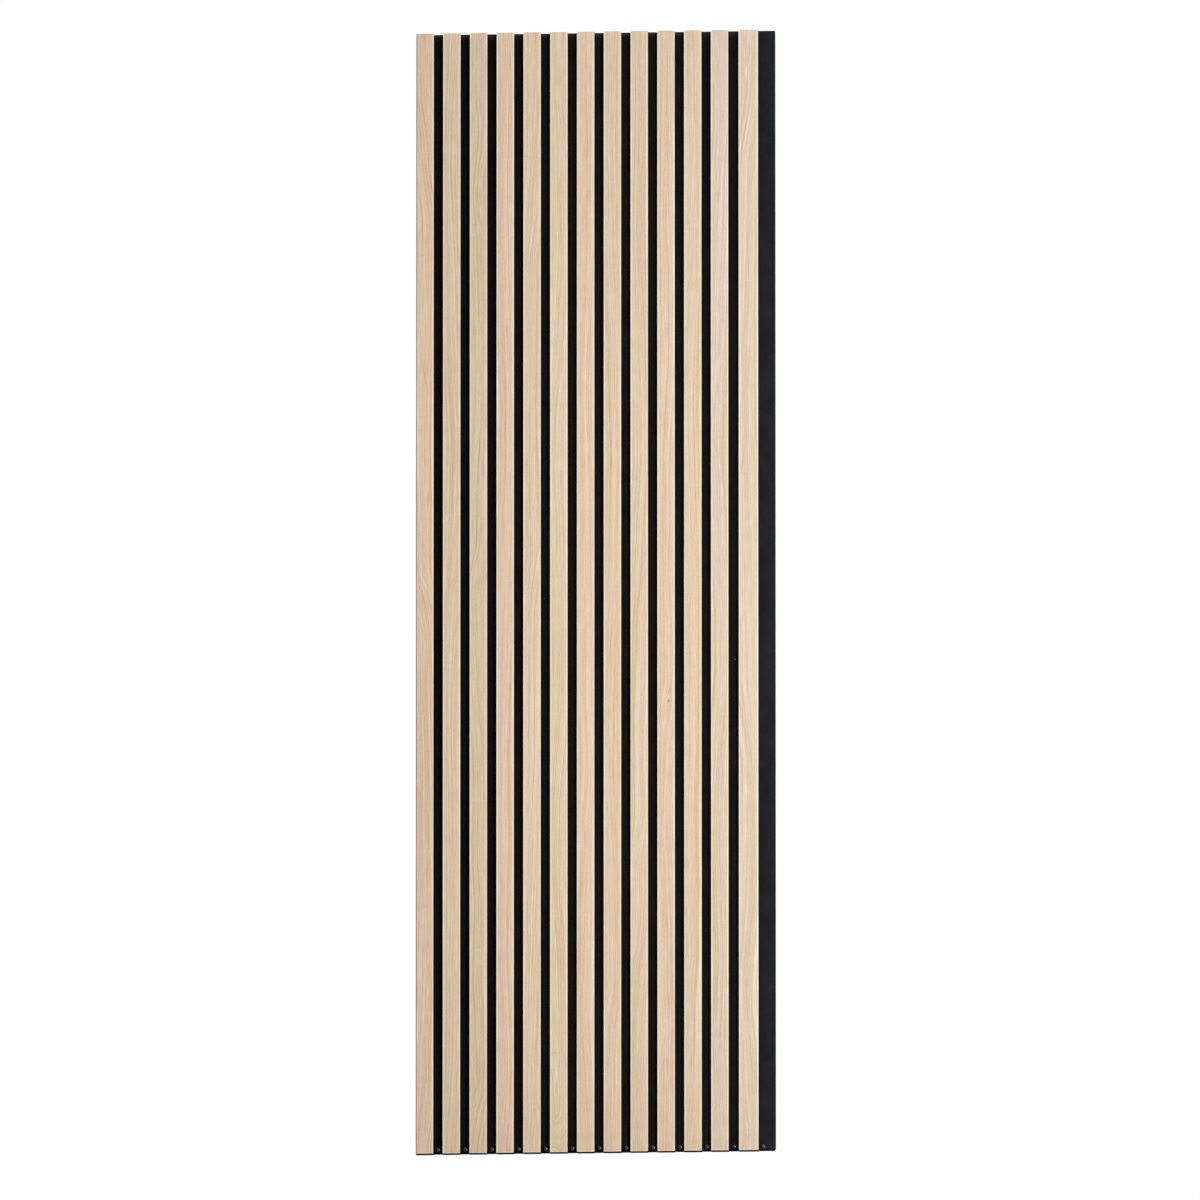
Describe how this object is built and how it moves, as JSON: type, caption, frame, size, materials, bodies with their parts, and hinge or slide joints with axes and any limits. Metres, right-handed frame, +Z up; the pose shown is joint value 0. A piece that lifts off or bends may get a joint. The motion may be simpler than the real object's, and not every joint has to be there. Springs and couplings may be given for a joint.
{
  "type": "acoustic slat wall panel",
  "caption": "Tall wall panel of flat oak-faced slats with black sides, set side by side with open gaps on a black felt board, with small screws in the felt at its foot.",
  "frame": {"origin": "centre of the panel's flat back face, where it meets the wall", "axes": "+Z up along the slats, +Y into the wall, +X to the right as seen from the room; the slats face -Y"},
  "size_m": [0.57, 0.021, 1.8],
  "materials": {
    "oak_veneer": "fine-sanded oak veneer, matt lacquer",
    "core_board": "black-dyed fibreboard, cut and sanded",
    "felt": "black needle-punched polyester felt board",
    "screw_steel": "black-oxidised steel, slightly shiny"
  },
  "bodies": {
    "root": {"felt_backing": "felt", "slat_01_core": "core_board", "slat_01_veneer": "oak_veneer", "slat_02_core": "core_board", "slat_02_veneer": "oak_veneer", "slat_03_core": "core_board", "slat_03_veneer": "oak_veneer", "slat_04_core": "core_board", "slat_04_veneer": "oak_veneer", "slat_05_core": "core_board", "slat_05_veneer": "oak_veneer", "slat_06_core": "core_board", "slat_06_veneer": "oak_veneer", "slat_07_core": "core_board", "slat_07_veneer": "oak_veneer", "slat_08_core": "core_board", "slat_08_veneer": "oak_veneer", "slat_09_core": "core_board", "slat_09_veneer": "oak_veneer", "slat_10_core": "core_board", "slat_10_veneer": "oak_veneer", "slat_11_core": "core_board", "slat_11_veneer": "oak_veneer", "slat_12_core": "core_board", "slat_12_veneer": "oak_veneer", "slat_13_core": "core_board", "slat_13_veneer": "oak_veneer", "foot_screws": "screw_steel"}
  },
  "joints": []
}
